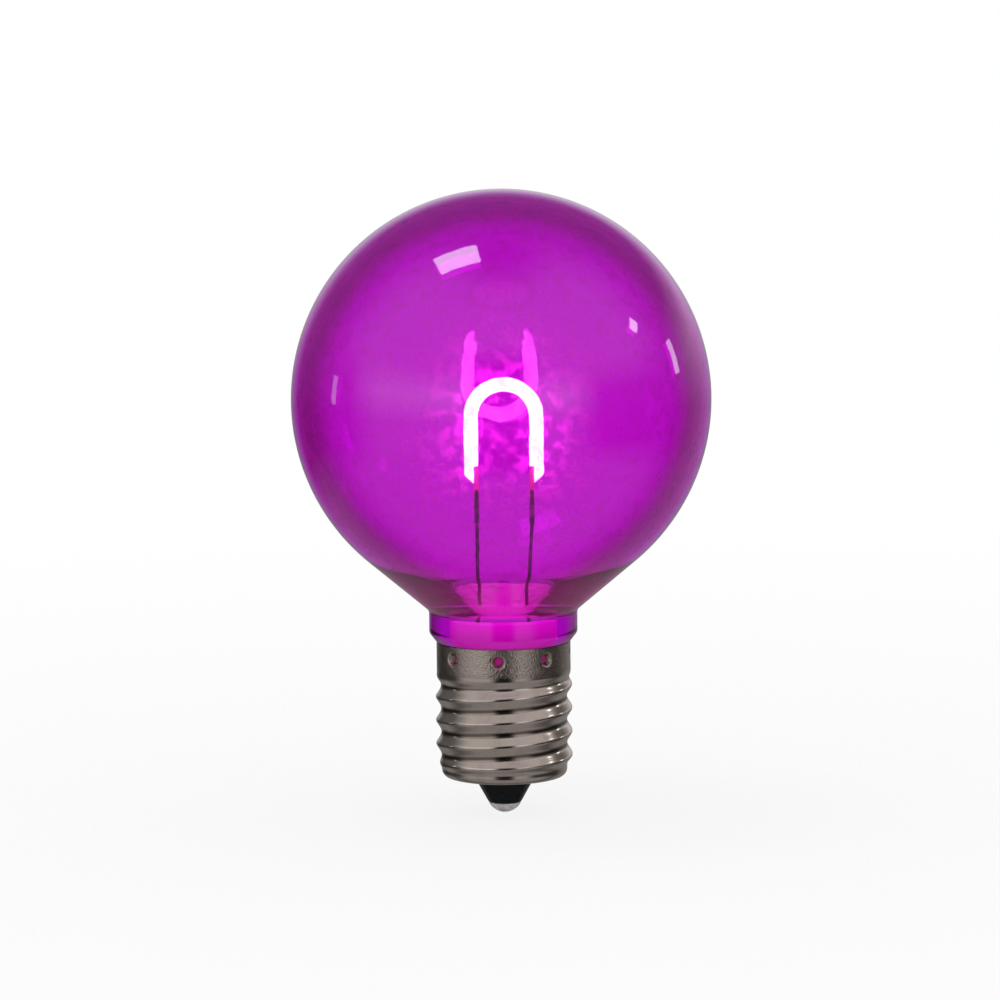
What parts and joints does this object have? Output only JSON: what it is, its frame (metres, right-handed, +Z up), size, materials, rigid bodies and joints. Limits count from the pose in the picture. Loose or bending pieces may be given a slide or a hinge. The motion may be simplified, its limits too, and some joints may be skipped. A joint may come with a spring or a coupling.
{
  "type": "filament globe bulb",
  "caption": "Clear purple globe bulb with a glowing U-shaped filament on lead wires, and a small threaded metal screw base with a black insulated tip.",
  "frame": {"origin": "tip of the centre contact, on the bulb's axis", "axes": "+Z up the axis from the contact to the globe's crown, -Y towards the filament's front"},
  "size_m": [0.05, 0.05, 0.0748],
  "materials": {
    "purple_plastic": "clear dyed plastic, polished",
    "nickel_plate": "satin nickel plate",
    "black_plastic": "moulded satin",
    "contact_metal": "tinned, slightly dull",
    "filament_coat": "glowing silicone coat",
    "lead_metal": "drawn wire",
    "white_plastic": "moulded satin",
    "board_laminate": "lacquered laminate",
    "chip_black": "moulded epoxy",
    "fuse_coat": "lacquered",
    "solder": "bright solder"
  },
  "bodies": {
    "root": {"globe": "purple_plastic", "screw_shell": "nickel_plate", "insulator": "black_plastic", "centre_contact": "contact_metal", "wire_holder": "white_plastic", "filament": "filament_coat", "filament_tab_left": "lead_metal", "filament_tab_right": "lead_metal", "lead_wire_left": "lead_metal", "lead_wire_right": "lead_metal", "driver_board": "board_laminate", "bridge_rectifier": "chip_black", "chip_resistor_left": "chip_black", "chip_resistor_right": "chip_black", "fuse_resistor": "fuse_coat", "shell_wire": "lead_metal", "solder_joints": "solder"}
  },
  "joints": []
}
